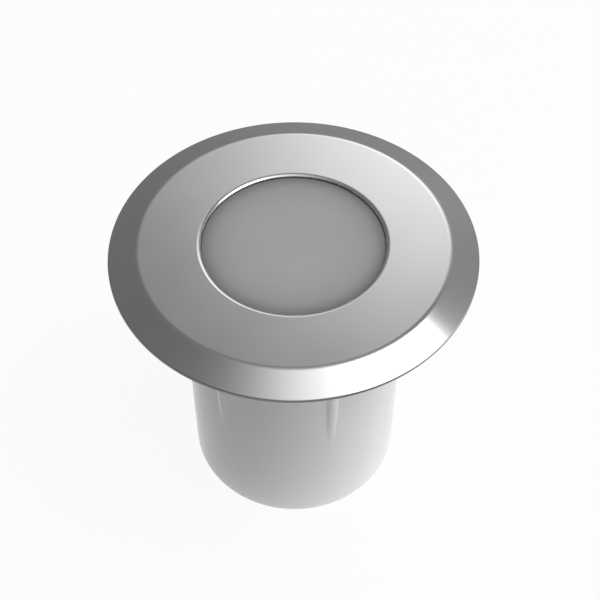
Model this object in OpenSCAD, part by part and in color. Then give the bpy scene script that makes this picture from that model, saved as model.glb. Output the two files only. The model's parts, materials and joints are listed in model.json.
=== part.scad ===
// A drive-over well light for an 80 mm cover: a screw-on face ring with a flush frosted
// window, a sealed lamp unit that hangs from it, and the moulded sleeve that stays in the ground.
// Millimetres, +Z up. The origin is on the axis, in the plane where the face ring meets the ground.

/* [Face ring] */
// Width across the face ring
face_d = 80; // [78:0.5:96]
// Height of the face ring above the ground
face_h = 3; // [2.8:0.1:4]
// Height of the upright edge round the rim
land_h = 0.8; // [0.4:0.1:1.4]
// Width across the flat top, where the bevel starts
flat_d = 67.2; // [60:0.2:70]
// Rounding between the flat top and the bevel
bevel_round = 2; // [0.5:0.1:3]
// Thickness of the lip that holds the glass down
lip_h = 1.5; // [1.2:0.1:1.7]
// Reach of the lip over the glass flange
lip_catch = 0.75; // [0.65:0.05:1.2]
// Width of the chamfer round the window
chamfer_w = 0.75; // [0.4:0.05:1.2]
// Depth of the chamfer round the window
chamfer_h = 0.5; // [0.3:0.05:0.9]
// Depth of the threaded skirt below the ground line
skirt_h = 11; // [10:0.5:13]
// Wall of the threaded skirt
skirt_wall = 1.8; // [1.5:0.1:2.2]
// Inner width of the foam gasket under the ring
gasket_d = 54; // [52:0.5:56]
// Width of the band of the foam gasket
gasket_band = 5; // [3:0.5:6]
// Thickness of the foam gasket
gasket_t = 0.8; // [0.5:0.1:1.2]

/* [Window glass] */
// Depth of the glass below the flat top
glass_drop = 0.6; // [0.3:0.05:0.8]
// Thickness of the glass flange
glass_flange_t = 2.9; // [2.4:0.1:3.4]
// Thickness of the seal between glass and lip
lens_seal_t = 0.6; // [0.4:0.05:0.8]
// Thickness of the seal between glass and lamp rim
rim_seal_t = 0.8; // [0.6:0.1:1.2]

/* [Well sleeve] */
// Outside width of the sleeve, and of the hole in the ground
sleeve_d = 50; // [49:0.5:52]
// Depth of the sleeve below the ground line
sleeve_depth = 69; // [66:0.5:90]
// Wall of the sleeve
sleeve_wall = 1.5; // [1.2:0.1:1.8]
// Thickness of the floor of the sleeve
sleeve_floor = 2; // [1.5:0.1:3]
// Rounding of the bottom edge of the sleeve
sleeve_round = 2; // [0.4:0.1:2.4]
// Number of gripping fins outside
fin_count = 6; // [4:1:8]
// Width of a gripping fin
fin_w = 2; // [1.4:0.1:2.6]
// How far a fin stands out of the wall
fin_proud = 0.35; // [0.2:0.05:0.5]
// Length of a fin, from the ground line to its point
fin_len = 39; // [30:1:50]
// Length of the taper that runs out into a fin's point
fin_taper = 4; // [2:0.5:8]
// Number of guide rails inside
rail_count = 6; // [4:1:8]
// Width of a guide rail
rail_w = 3; // [2:0.5:5]
// Height of a guide rail from the wall
rail_h = 0.5; // [0.4:0.05:0.6]
// Height above the sleeve's floor that the rails leave free for gland and cable
cable_room = 21; // [8:0.5:30]
// Width of the opening in the floor of the sleeve
outlet_d = 28; // [24:0.5:30]
// Width of a drain hole
drain_d = 4; // [3:0.2:5]
// Number of drain holes
drain_count = 6; // [3:1:8]

/* [Lamp body] */
// Wall of the threaded neck
neck_wall = 2.2; // [2:0.1:2.4]
// Thickness of the floor of the lamp body
floor_t = 3; // [2.5:0.1:4]
// Wall beside the driver
driver_wall = 6.2; // [5.8:0.1:6.4]
// Rounding of the bottom edge of the lamp body
body_round = 3; // [1:0.5:4]
// Number of cooling slots
slot_count = 24; // [12:1:30]
// Width of a cooling slot
slot_w = 2; // [1.2:0.1:2.4]
// Depth of a cooling slot
slot_depth = 1.6; // [0.8:0.1:2]
// Section of the rubber rings
oring_w = 1.5; // [1.3:0.1:1.6]

/* [Light engine] */
// Thickness of the opal diffuser
diffuser_t = 1.5; // [1:0.1:2]
// Height of the reflector
reflector_h = 10.9; // [9:0.1:11.5]
// Inside width of the reflector at the LED board
reflector_d = 22.4; // [22:0.1:22.8]
// Wall of the reflector
reflector_wall = 0.8; // [0.6:0.1:1]
// Width of the LED board
led_board_d = 25; // [24.6:0.1:25]
// Thickness of the LED board
led_board_t = 1.6; // [1:0.1:2]
// Number of LEDs
led_count = 6; // [3:1:6]
// Radius of the ring of LEDs
led_ring_r = 6; // [5.6:0.1:6.2]
// Thickness of the thermal pad
pad_t = 0.5; // [0.3:0.05:1]
// Thickness of the carrier plate
carrier_t = 2.5; // [2:0.1:3]

/* [Driver] */
// Width of the driver board
driver_d = 24.8; // [24.2:0.1:25.6]
// Thickness of the driver board
driver_t = 1.6; // [1:0.1:2]
// Clear height above the driver board
driver_room = 14.4; // [11:0.1:20]
// Height of the standoffs under the driver board
standoff_h = 7; // [5.5:0.1:7.5]
// Width of the smoothing capacitor
capacitor_d = 6.3; // [5:0.1:6.4]
// Height of the smoothing capacitor
capacitor_h = 10; // [7:0.1:10.5]
// Width of the choke
choke_d = 7; // [5:0.1:7.2]
// Height of the choke
choke_h = 6; // [4:0.1:8]
// Width of one LED lead
lead_d = 1.2; // [0.9:0.1:1.3]

/* [Cable gland] */
// Width of the supply cable that the gland clamps
cable_d = 6.5; // [5.5:0.1:6.8]
// Width of the gland thread through the floor
gland_d = 12; // [11.6:0.1:12.4]
// Width across flats of the gland body and nut
gland_flats = 15; // [14.6:0.1:16]
// Height of the hexagon of the gland body
gland_hex_h = 4; // [3:0.1:4.5]
// Length of the gland nut
gland_nut_h = 10; // [9:0.1:10.5]
// Width across flats of the inner locknut
locknut_flats = 14; // [13.6:0.1:14.4]
// Height of the inner locknut
locknut_h = 3; // [2:0.1:3.4]

/* [Hidden] */
$fn = 96;

// Clearances and the one overrun that all cuts share
over = 1;
lamp_gap = 0.3;
glass_gap = 0.3;
thread_gap = 0.7;
end_gap = 0.3;
slip = 0.2;
seal_gap = 0.1;
seal_slack = 0.05;
screw_slack = 0.05;
lead_in = 0.3;

// Radii from the sleeve inwards
face_r = face_d / 2;
flat_r = flat_d / 2;
sleeve_r = sleeve_d / 2;
sleeve_in = sleeve_r - sleeve_wall;
rail_r = sleeve_in - rail_h;
skirt_out = rail_r - lamp_gap;
skirt_in = skirt_out - skirt_wall;
flange_r = skirt_in - glass_gap;
lip_r = flange_r - lip_catch;
window_r = lip_r + chamfer_w;
neck_r = skirt_in - thread_gap;
bore_r = neck_r - neck_wall;
engine_r = bore_r - slip;
lamp_r = skirt_out - lamp_gap;
driver_bore_r = lamp_r - driver_wall;

// Levels from the flat top down
glass_top = face_h - glass_drop;
lip_under = face_h - lip_h;
flange_top = lip_under - lens_seal_t;
glass_under = flange_top - glass_flange_t;
rim_top = glass_under - rim_seal_t;
shoulder_z = -skirt_h - end_gap;
diffuser_top = rim_top - slip;
reflector_top = diffuser_top - diffuser_t;
led_top = reflector_top - reflector_h;
pad_top = led_top - led_board_t;
carrier_top = pad_top - pad_t;
ledge_z = carrier_top - carrier_t;
driver_top = ledge_z - driver_room;
driver_under = driver_top - driver_t;
floor_top = driver_under - standoff_h;
lamp_bottom = floor_top - floor_t;
rail_foot = sleeve_floor + cable_room - sleeve_depth;

// Retaining ring under the glass, in a groove of the skirt
retainer_t = 0.5;
retainer_catch = 0.25;
retainer_bite = 0.35;
retainer_split = 14;
groove_slack = 0.1;

// Glass and its seal
glass_edge = 0.15;
spigot_gap = 0.35;
spigot_r = lip_r - spigot_gap;
seal_upstand_drop = 0.3;

// Rubber rings and the grooves that hold them
oring_r = skirt_in - seal_gap - oring_w / 2;
oring_z = shoulder_z + oring_w;
oring_groove_w = oring_w * 1.25;
grip_gap = 0.15;
grip_r = rail_r - grip_gap - oring_w / 2;
grip_z = [for (step = [1, 2]) shoulder_z - step * oring_w * 2];

// Cooling slots
slot_top = grip_z[1] - oring_w * 2;
slot_foot = 2;

// Carrier screws and the bosses that take them
carrier_screw_at = 14.8;
carrier_screw_turn = 60;
carrier_screw_d = 2.4;
carrier_head_d = 4.3;
carrier_head_h = 1.8;
boss_d = 5.2;
boss_h = 10;
boss_hole_h = 8;
carrier_screw_len = 9;

// LED board, its screws and its LEDs
board_screw_at = 9.2;
board_screw_d = 1.9;
board_head_d = 3.5;
board_head_h = 1.2;
board_screw_len = 3.8;
led_w = 2.8;
led_long = 3.5;
led_h = 0.9;
led_lens_d = 2.3;
led_lens_h = 0.25;
wire_hole_d = 4.8;
pad_margin = 0.5;

// Leads from the driver to the LED board, and their grommet
lead_x = 1;
lead_bend = 1.2;
lead_reach = 4;
grommet_hole_d = 6.4;
grommet_bore_d = 3.6;
grommet_flange_d = 8;
grommet_flange_t = 0.8;

// Driver board and what it carries
standoff_at = 10.2;
standoff_turn = 90;
standoff_d = 3.2;
standoff_hole_h = 5;
driver_screw_d = 1.9;
driver_head_d = 3.5;
driver_head_h = 1.2;
driver_screw_len = 5;
capacitor_at = [-6.5, 3.5];
capacitor_bead = 0.35;
capacitor_bead_z = 1.6;
choke_at = [6.3, 3.6];
choke_rim_t = 1;
choke_waist = 0.6;
chip_size = [4, 3, 1.5];
chip_at = [[0, 5.4], [5.2, -1.7], [-5.2, -1.7]];
terminal_size = [9, 7, 7.5];
terminal_at = [0, -7.2];
terminal_pitch = 5;
terminal_hole_d = 2.4;
terminal_hole_z = 2.6;
terminal_screw_d = 2.6;
terminal_screw_h = 2.5;
terminal_screw_sink = 0.8;

// Cable gland
gland_r = gland_d / 2;
gland_slack = 0.1;
gland_seal_w = 1;
gland_recess_h = 1.1;
gland_recess_gap = 0.05;
gland_overlap = 0.5;
gland_bore_gap = 0.35;
gland_wall = 1;
gland_socket_h = 6;
seal_wall = 1.25;
seal_stand = 0.5;
nut_gap = 0.3;
nut_end_t = 2.5;
nut_hex_h = 6;
nut_bevel = 0.6;
gland_bore_r = cable_d / 2 + gland_bore_gap;
gland_seal_r = cable_d / 2 + seal_wall;
socket_r = gland_seal_r + seal_gap;
spigot_out = socket_r + gland_wall;
gland_hex_z = lamp_bottom - gland_hex_h;
socket_top = gland_hex_z - gland_wall;
socket_foot = socket_top - gland_socket_h;
nut_top = gland_hex_z - nut_gap;
nut_foot = nut_top - gland_nut_h;

// Half way through the sleeve's wall, and the drain holes midway between outlet and wall
wall_mid_r = (sleeve_r + sleeve_in) / 2;
drain_at = (outlet_d / 2 + sleeve_in) / 2;

// Copies turned evenly round the axis, the first one at the angle start
module around(count, start = 0) {
    for (k = [0 : count - 1]) rotate([0, 0, start + k * 360 / count]) children();
}

// A tube of radii r_in and r_out between two levels
module tube(r_in, r_out, low, high) {
    translate([0, 0, low]) difference() {
        cylinder(r = r_out, h = high - low);
        translate([0, 0, -over]) cylinder(r = r_in, h = high - low + 2 * over);
    }
}

// A straight hole of radius r between two levels, to be cut
module hole(r, low, high) {
    translate([0, 0, low - over]) cylinder(r = r, h = high - low + 2 * over);
}

// A ring of round section, its middle circle at radius r and level z
module round_ring(r, section, z) {
    translate([0, 0, z]) rotate_extrude() translate([r, 0]) circle(d = section, $fn = 32);
}

// What lies outside a rounding of radius r that is tangent to the level top and to a side
// that falls by the angle turn. Its centre is the origin.
module corner_waste(r, turn) {
    reach = r + over;
    difference() {
        polygon([[0, 0], [0, reach], [reach * tan(turn / 2), reach],
            [reach * sin(turn), reach * cos(turn)]]);
        circle(r = r);
    }
}

// A pan-head screw that points down from the origin, its head above it
module screw(shank_d, length, head_d, head_h) {
    kerf = head_d / 6;
    translate([0, 0, -length]) cylinder(d = shank_d, h = length + head_h / 2);
    difference() {
        cylinder(d = head_d, h = head_h);
        translate([-head_d, -kerf / 2, head_h * 0.6]) cube([head_d * 2, kerf, head_h]);
    }
}

// A hexagon prism by its width across flats
module hexagon(flats, h) {
    cylinder(d = flats / cos(30), h = h, $fn = 6);
}

// The machined ring: flat top, rounded bevel, low upright rim, chamfered window, lip and skirt
module face_ring() color("gainsboro") {
    bevel_fall = atan((face_h - land_h) / (face_r - flat_r));
    round_back = bevel_round * tan(bevel_fall / 2);
    rotate_extrude() difference() {
        polygon([
            [lip_r, lip_under], [skirt_in, lip_under], [skirt_in, -skirt_h + lead_in],
            [skirt_in + lead_in, -skirt_h], [skirt_out - lead_in, -skirt_h],
            [skirt_out, -skirt_h + lead_in], [skirt_out, 0], [face_r, 0], [face_r, land_h],
            [flat_r, face_h], [window_r, face_h], [lip_r, face_h - chamfer_h]]);
        translate([flat_r - round_back, face_h - bevel_round]) corner_waste(bevel_round, bevel_fall);
        translate([gasket_d / 2, -over]) square([gasket_band, gasket_t + over]);
        translate([skirt_in - over, glass_under - retainer_t - groove_slack])
            square([over + retainer_bite + groove_slack, retainer_t + groove_slack]);
    }
}

// Foam band in the recess under the ring, flush with the ground line
module ground_gasket() color("dimgray") {
    tube(gasket_d / 2, gasket_d / 2 + gasket_band, 0, gasket_t);
}

// Split spring ring that lifts the glass with the face ring
module glass_retainer() color("silver") {
    rotate([0, 0, retainer_split / 2]) rotate_extrude(angle = 360 - retainer_split)
        translate([flange_r - retainer_catch, glass_under - retainer_t])
            square([skirt_in + retainer_bite - flange_r + retainer_catch, retainer_t]);
}

// Stepped toughened glass, frosted underneath
module glass_lens() color("darkgray") {
    rotate_extrude() polygon([
        [0, glass_under], [flange_r - glass_edge, glass_under], [flange_r, glass_under + glass_edge],
        [flange_r, flange_top - glass_edge], [flange_r - glass_edge, flange_top],
        [spigot_r, flange_top], [spigot_r, glass_top - glass_edge],
        [spigot_r - glass_edge, glass_top], [0, glass_top]]);
}

// Angle seal: a leg on the glass flange and an upstand round the spigot
module lens_seal() color("black") {
    rotate_extrude() polygon([
        [spigot_r + seal_slack, flange_top], [flange_r, flange_top], [flange_r, lip_under],
        [lip_r - seal_slack, lip_under], [lip_r - seal_slack, glass_top - seal_upstand_drop],
        [spigot_r + seal_slack, glass_top - seal_upstand_drop]]);
}

// Flat seal between the glass and the rim of the lamp body
module rim_seal() color("black") {
    tube(bore_r + slip, neck_r - seal_gap, rim_top, glass_under);
}

// Turned and slotted aluminium housing: neck, ring grooves, cooling slots, ledge and bosses
module lamp_body() color("silver") difference() {
    union() {
        lamp_shell();
        around(3, carrier_screw_turn) translate([carrier_screw_at, 0, ledge_z - boss_h])
            cylinder(d = boss_d, h = boss_h);
    }
    hole(bore_r, ledge_z + over, rim_top);
    around(3, carrier_screw_turn) translate([carrier_screw_at, 0, ledge_z - boss_hole_h])
        cylinder(d = carrier_screw_d + 2 * screw_slack, h = boss_hole_h + over);
    hole(gland_r + gland_slack, lamp_bottom, floor_top);
    translate([0, 0, lamp_bottom - over])
        cylinder(r = gland_r + gland_slack + gland_seal_w + gland_recess_gap, h = gland_recess_h + over);
    around(slot_count, 180 / slot_count)
        translate([lamp_r - slot_depth, -slot_w / 2, lamp_bottom + slot_foot])
            cube([slot_depth + over, slot_w, slot_top - lamp_bottom - slot_foot]);
}

// The turned form of the lamp body, with its grooves and the driver chamber
module lamp_shell() {
    rotate_extrude() difference() {
        polygon([
            [0, lamp_bottom], [lamp_r, lamp_bottom], [lamp_r, shoulder_z], [neck_r, shoulder_z],
            [neck_r, rim_top], [driver_bore_r, rim_top], [driver_bore_r, floor_top], [0, floor_top]]);
        translate([lamp_r - body_round, lamp_bottom + body_round]) mirror([0, 1])
            corner_waste(body_round, 90);
        ring_groove(oring_r, oring_z);
        for (z = grip_z) ring_groove(grip_r, z);
    }
}

// Section of the groove behind a rubber ring
module ring_groove(r, z) {
    translate([r - oring_w / 2 - seal_slack, z - oring_groove_w / 2])
        square([oring_w * 2, oring_groove_w]);
}

// Sealing ring at the foot of the neck, inside the skirt
module body_oring() color("black") {
    round_ring(oring_r, oring_w, oring_z);
}

// Two rings that steady the lamp body between the guide rails
module grip_rings() color("black") {
    for (z = grip_z) round_ring(grip_r, oring_w, z);
}

// Opal disc above the reflector
module diffuser() color("white") {
    translate([0, 0, reflector_top]) cylinder(r = engine_r, h = diffuser_t);
}

// White cone with a straight rim that the diffuser lies on
module reflector() color("whitesmoke") {
    low_r = reflector_d / 2;
    high_r = engine_r - reflector_wall;
    rim_h = reflector_wall;
    rotate_extrude() polygon([
        [low_r, led_top], [low_r + reflector_wall, led_top],
        [engine_r, reflector_top - rim_h - reflector_wall], [engine_r, reflector_top],
        [high_r, reflector_top], [high_r, reflector_top - rim_h], [low_r, led_top + reflector_wall]]);
}

// Round metal-core board with a hole for the leads
module led_board() color("white") difference() {
    translate([0, 0, pad_top]) cylinder(d = led_board_d, h = led_board_t);
    hole(wire_hole_d / 2, pad_top, led_top);
    around(3) translate([board_screw_at, 0, 0])
        hole(board_screw_d / 2 + seal_gap, pad_top, led_top);
}

// Surface-mounted LEDs, each with its phosphor window
module led_emitters() color("gold") {
    around(led_count, 180 / led_count) translate([led_ring_r, 0, led_top]) {
        translate([-led_long / 2, -led_w / 2, 0]) cube([led_long, led_w, led_h]);
        cylinder(d = led_lens_d, h = led_h + led_lens_h);
    }
}

// Screws that press the LED board on its pad
module led_board_screws() color("silver") {
    around(3) translate([board_screw_at, 0, led_top])
        screw(board_screw_d, board_screw_len, board_head_d, board_head_h);
}

// Soft pad that carries the heat from the board to the carrier
module thermal_pad() color("lightpink") difference() {
    translate([0, 0, carrier_top]) cylinder(r = led_board_d / 2 - pad_margin, h = pad_t);
    hole(wire_hole_d / 2, carrier_top, pad_top);
    around(3) translate([board_screw_at, 0, 0])
        hole(board_screw_d / 2 + slip, carrier_top, pad_top);
}

// Aluminium plate on the ledge of the lamp body
module led_carrier() color("lightgray") difference() {
    translate([0, 0, ledge_z]) cylinder(r = engine_r, h = carrier_t);
    hole(grommet_hole_d / 2, ledge_z, carrier_top);
    around(3) translate([board_screw_at, 0, 0])
        hole(board_screw_d / 2 + screw_slack, ledge_z, carrier_top);
    around(3, carrier_screw_turn) translate([carrier_screw_at, 0, 0])
        hole(carrier_screw_d / 2 + slip, ledge_z, carrier_top);
}

// Screws that hold the carrier on the bosses
module carrier_screws() color("silver") {
    around(3, carrier_screw_turn) translate([carrier_screw_at, 0, carrier_top])
        screw(carrier_screw_d, carrier_screw_len, carrier_head_d, carrier_head_h);
}

// Rubber grommet in the middle of the carrier
module lead_grommet() color("black") difference() {
    union() {
        translate([0, 0, ledge_z]) cylinder(r = grommet_hole_d / 2 - seal_slack, h = carrier_t);
        translate([0, 0, ledge_z - grommet_flange_t]) cylinder(d = grommet_flange_d, h = grommet_flange_t);
    }
    hole(grommet_bore_d / 2, ledge_z - grommet_flange_t, carrier_top);
}

// One lead: up from the driver board, round a bend and out to its pad on the LED board
module lead() {
    bend_z = led_top + lead_d / 2 - lead_bend;
    translate([lead_x, 0, driver_top]) cylinder(d = lead_d, h = bend_z - driver_top, $fn = 32);
    translate([lead_x + lead_bend, 0, bend_z]) rotate([90, 0, 0])
        rotate([0, 0, 90]) rotate_extrude(angle = 90) translate([lead_bend, 0]) circle(d = lead_d, $fn = 32);
    translate([lead_x + lead_bend, 0, bend_z + lead_bend]) rotate([0, 90, 0])
        cylinder(d = lead_d, h = lead_reach - lead_x - lead_bend, $fn = 32);
}

// Lead from the driver's plus side
module led_lead_red() color("red") {
    lead();
}

// Lead from the driver's minus side
module led_lead_black() color("black") {
    rotate([0, 0, 180]) lead();
}

// Round driver board on its standoffs
module driver_board() color("darkgreen") difference() {
    translate([0, 0, driver_under]) cylinder(d = driver_d, h = driver_t);
    around(3, standoff_turn) translate([standoff_at, 0, 0])
        hole(driver_screw_d / 2 + seal_gap, driver_under, driver_top);
}

// Pillars between the floor of the lamp body and the driver board
module driver_standoffs() color("khaki") {
    around(3, standoff_turn) translate([standoff_at, 0, floor_top]) difference() {
        cylinder(d = standoff_d, h = standoff_h);
        translate([0, 0, standoff_h - standoff_hole_h])
            cylinder(r = driver_screw_d / 2 + screw_slack, h = standoff_hole_h + over);
    }
}

// Screws through the driver board into its standoffs
module driver_screws() color("silver") {
    around(3, standoff_turn) translate([standoff_at, 0, driver_top])
        screw(driver_screw_d, driver_screw_len, driver_head_d, driver_head_h);
}

// Drum choke: two rims and a waist for the winding
module driver_choke() color("darkorange") {
    rim_r = choke_d / 2;
    waist_r = rim_r - choke_waist;
    translate([choke_at[0], choke_at[1], driver_top]) rotate_extrude() polygon([
        [0, 0], [rim_r, 0], [rim_r, choke_rim_t], [waist_r, choke_rim_t],
        [waist_r, choke_h - choke_rim_t], [rim_r, choke_h - choke_rim_t], [rim_r, choke_h],
        [0, choke_h]]);
}

// Standing can with the rolled bead near its foot
module driver_capacitor() color("midnightblue") {
    can_r = capacitor_d / 2;
    translate([capacitor_at[0], capacitor_at[1], driver_top]) difference() {
        cylinder(r = can_r, h = capacitor_h);
        round_ring(can_r, capacitor_bead * 2, capacitor_bead_z);
    }
}

// Rectifier and regulator packages
module driver_chips() color("black") {
    for (place = chip_at) translate([place[0] - chip_size[0] / 2, place[1] - chip_size[1] / 2, driver_top])
        cube(chip_size);
}

// Two-pole terminal block for the supply, its wire mouths towards the edge of the board
module supply_terminal() color("green") {
    translate([terminal_at[0], terminal_at[1], driver_top]) difference() {
        translate([-terminal_size[0] / 2, -terminal_size[1] / 2, 0]) cube(terminal_size);
        for (side = [-1, 1]) translate([side * terminal_pitch / 2, 0, 0]) {
            translate([0, 0, terminal_size[2] - terminal_screw_h - terminal_screw_sink])
                cylinder(r = terminal_screw_d / 2 + screw_slack, h = terminal_size[2]);
            translate([0, 0, terminal_hole_z]) rotate([90, 0, 0])
                cylinder(d = terminal_hole_d, h = terminal_size[1]);
        }
    }
}

// Clamping screws sunk in the terminal block
module terminal_screws() color("silver") {
    for (side = [-1, 1])
        translate([terminal_at[0] + side * terminal_pitch / 2, terminal_at[1],
            driver_top + terminal_size[2] - terminal_screw_h - terminal_screw_sink]) difference() {
            cylinder(d = terminal_screw_d, h = terminal_screw_h);
            translate([-terminal_screw_d, -terminal_screw_d / 8, terminal_screw_h * 0.7])
                cube([terminal_screw_d * 2, terminal_screw_d / 4, terminal_screw_h]);
        }
}

// Gland body: threaded stub through the floor, hexagon below it, socket for the seal
module gland_body() color("dimgray") difference() {
    union() {
        translate([0, 0, gland_hex_z]) hexagon(gland_flats, gland_hex_h);
        translate([0, 0, lamp_bottom]) cylinder(r = gland_r, h = floor_t + locknut_h + gland_overlap);
        translate([0, 0, socket_foot]) cylinder(r = spigot_out, h = gland_hex_z - socket_foot);
    }
    hole(gland_bore_r, socket_top, floor_top + locknut_h + gland_overlap);
    translate([0, 0, socket_foot - over]) cylinder(r = socket_r, h = gland_socket_h + over);
}

// Ring in the recess between the gland's hexagon and the floor
module gland_oring() color("black") {
    round_ring(gland_r + gland_slack + gland_seal_w / 2, gland_seal_w, lamp_bottom + gland_recess_h / 2);
}

// Nut on the gland stub, inside the lamp body
module gland_locknut() color("dimgray") translate([0, 0, floor_top]) difference() {
    hexagon(locknut_flats, locknut_h);
    hole(gland_r + screw_slack, 0, locknut_h);
}

// Rubber sleeve that grips the cable, a little longer than its socket
module gland_seal() color("black") {
    tube(cable_d / 2, gland_seal_r, socket_foot - seal_stand, socket_top);
}

// Dome nut that squeezes the seal
module gland_nut() color("dimgray") difference() {
    dome_r = gland_flats / 2;
    union() {
        translate([0, 0, nut_top - nut_hex_h]) hexagon(gland_flats, nut_hex_h);
        translate([0, 0, nut_foot]) rotate_extrude() polygon([
            [0, 0], [dome_r - nut_end_t, 0], [dome_r - nut_bevel, nut_end_t],
            [dome_r - nut_bevel, gland_nut_h - nut_hex_h], [0, gland_nut_h - nut_hex_h]]);
    }
    hole(cable_d / 2 + gland_bore_gap * 2, nut_foot, nut_top);
    translate([0, 0, nut_foot + nut_end_t]) cylinder(r = spigot_out + nut_gap, h = gland_nut_h);
}

// Moulded sleeve: low pointed fins outside, guide rails inside, outlet and drains below
module well_sleeve() color("white") difference() {
    union() {
        sleeve_shell();
        around(fin_count) fin();
        around(rail_count, 180 / rail_count) rail();
    }
    around(drain_count, 90 / drain_count) translate([drain_at, 0, 0])
        hole(drain_d / 2, -sleeve_depth, sleeve_floor - sleeve_depth);
}

// Wall and floor of the sleeve, with the rounded bottom edge
module sleeve_shell() {
    rotate([0, 0, 90 / fin_count]) translate([0, 0, -sleeve_depth]) rotate_extrude() difference() {
        polygon([
            [outlet_d / 2, 0], [sleeve_r, 0], [sleeve_r, sleeve_depth], [sleeve_in, sleeve_depth],
            [sleeve_in, sleeve_floor], [outlet_d / 2, sleeve_floor]]);
        translate([sleeve_r - sleeve_round, sleeve_round]) mirror([0, 1])
            corner_waste(sleeve_round, 90);
    }
}

// The outer half of an upright round rod let into the wall. It ends level with the sleeve's rim,
// and a slender cone below it runs out into the wall at the depth fin_len.
module fin() {
    rod_r = fin_w / 2;
    run_out = fin_taper / 4;
    tip_r = rod_r - fin_proud * (fin_taper + run_out) / fin_taper;
    difference() {
        translate([sleeve_r + fin_proud - rod_r, 0, 0]) {
            translate([0, 0, fin_taper - fin_len]) cylinder(r = rod_r, h = fin_len - fin_taper);
            translate([0, 0, -fin_len - run_out])
                cylinder(r1 = tip_r, r2 = rod_r, h = fin_taper + run_out);
        }
        hole(wall_mid_r, -fin_len - run_out, 0);
    }
}

// A guide rail on the inner wall, its inner face on the circle rail_r
module rail() {
    difference() {
        translate([rail_r - over, -rail_w / 2, rail_foot])
            cube([wall_mid_r - rail_r + over, rail_w, -rail_foot - rail_w]);
        hole(rail_r, rail_foot, 0);
    }
}

face_ring();
ground_gasket();
glass_retainer();
glass_lens();
lens_seal();
rim_seal();
lamp_body();
body_oring();
grip_rings();
diffuser();
reflector();
led_board();
led_emitters();
led_board_screws();
thermal_pad();
led_carrier();
carrier_screws();
lead_grommet();
led_lead_red();
led_lead_black();
driver_board();
driver_standoffs();
driver_screws();
driver_choke();
driver_capacitor();
driver_chips();
supply_terminal();
terminal_screws();
gland_body();
gland_oring();
gland_locknut();
gland_seal();
gland_nut();
well_sleeve();
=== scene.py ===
import json
import math

import bmesh
import bpy
import numpy as np
from mathutils import Matrix, Quaternion, Vector


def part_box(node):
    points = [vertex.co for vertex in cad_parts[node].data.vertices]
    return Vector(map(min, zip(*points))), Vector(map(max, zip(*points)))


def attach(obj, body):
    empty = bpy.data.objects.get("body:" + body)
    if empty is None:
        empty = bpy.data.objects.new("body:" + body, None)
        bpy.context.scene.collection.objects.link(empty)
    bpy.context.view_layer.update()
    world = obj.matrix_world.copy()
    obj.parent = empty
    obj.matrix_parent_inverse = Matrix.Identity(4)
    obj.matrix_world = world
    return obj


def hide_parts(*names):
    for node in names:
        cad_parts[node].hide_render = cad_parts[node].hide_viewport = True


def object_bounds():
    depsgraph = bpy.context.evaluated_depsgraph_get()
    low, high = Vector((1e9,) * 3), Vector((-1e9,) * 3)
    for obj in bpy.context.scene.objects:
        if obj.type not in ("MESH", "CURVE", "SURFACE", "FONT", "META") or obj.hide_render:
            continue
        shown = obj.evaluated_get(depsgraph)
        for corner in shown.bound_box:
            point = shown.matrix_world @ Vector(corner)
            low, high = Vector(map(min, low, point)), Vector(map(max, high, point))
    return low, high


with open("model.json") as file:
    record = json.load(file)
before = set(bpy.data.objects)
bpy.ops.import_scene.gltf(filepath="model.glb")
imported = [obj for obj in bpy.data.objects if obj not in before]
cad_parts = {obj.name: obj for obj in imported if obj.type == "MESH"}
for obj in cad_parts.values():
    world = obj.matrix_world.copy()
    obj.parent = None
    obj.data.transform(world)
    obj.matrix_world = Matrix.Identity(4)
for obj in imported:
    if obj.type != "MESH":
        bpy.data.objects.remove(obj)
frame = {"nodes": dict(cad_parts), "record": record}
cadLow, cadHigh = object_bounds()
mm = 0.001
fullTurn = 2 * math.pi
print("frame loaded:", len(frame["nodes"]), "nodes")


def nodeRadius(node):
    # widest reach of a turned piece from the lamp's axis
    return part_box(node)[1].x


def levels(node):
    # lowest and highest level of a piece
    low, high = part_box(node)
    return low.z, high.z


# camera: as it stood for the photograph, worked out from the circles of cover and window
cameraSettings = {
    "distance": 0.2653,    # from the middle of the cover's seat, metres
    "elevation": 48.33,    # degrees above the ground
    "azimuth": 10.5,       # how far round the light the camera stands
    "pitchDown": 50.64,
    "turnRight": 0.45,
    "lens": 73.49,         # millimetres, as is the sensor
    "sensor": 36.0,
    "nearest": 0.01, "farthest": 20,
}


def makeCamera(s):
    # stands at distance along the elevation, looks down by the pitch, all turned by the azimuth
    el, pitch, yaw = (math.radians(s[k]) for k in ("elevation", "pitchDown", "turnRight"))
    turn = Matrix.Rotation(math.radians(s["azimuth"]), 4, "Z")
    place = turn @ Vector((0, -s["distance"] * math.cos(el), s["distance"] * math.sin(el)))
    gaze = turn @ Vector((math.sin(yaw) * math.cos(pitch), math.cos(yaw) * math.cos(pitch),
                          -math.sin(pitch)))
    data = bpy.data.cameras.new("photoCamera")
    data.lens, data.sensor_width = s["lens"], s["sensor"]
    data.clip_start, data.clip_end = s["nearest"], s["farthest"]
    camera = bpy.data.objects.new("photoCamera", data)
    bpy.context.scene.collection.objects.link(camera)
    camera.location = place
    camera.rotation_mode = "QUATERNION"
    camera.rotation_quaternion = gaze.to_track_quat("-Z", "Y")
    bpy.context.scene.camera = camera


makeCamera(cameraSettings)
bpy.context.scene.view_settings.view_transform = "Standard"


# mesh tools


def meshPiece(name, points, faces):
    # points is an n by 3 array in metres, faces a list of index arrays, one row a face
    mesh = bpy.data.meshes.new(name)
    mesh.from_pydata(points.tolist(), [], [face for block in faces for face in block.tolist()])
    mesh.validate()
    mesh.update()
    piece = bpy.data.objects.new(name, mesh)
    bpy.context.scene.collection.objects.link(piece)
    return piece


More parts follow.
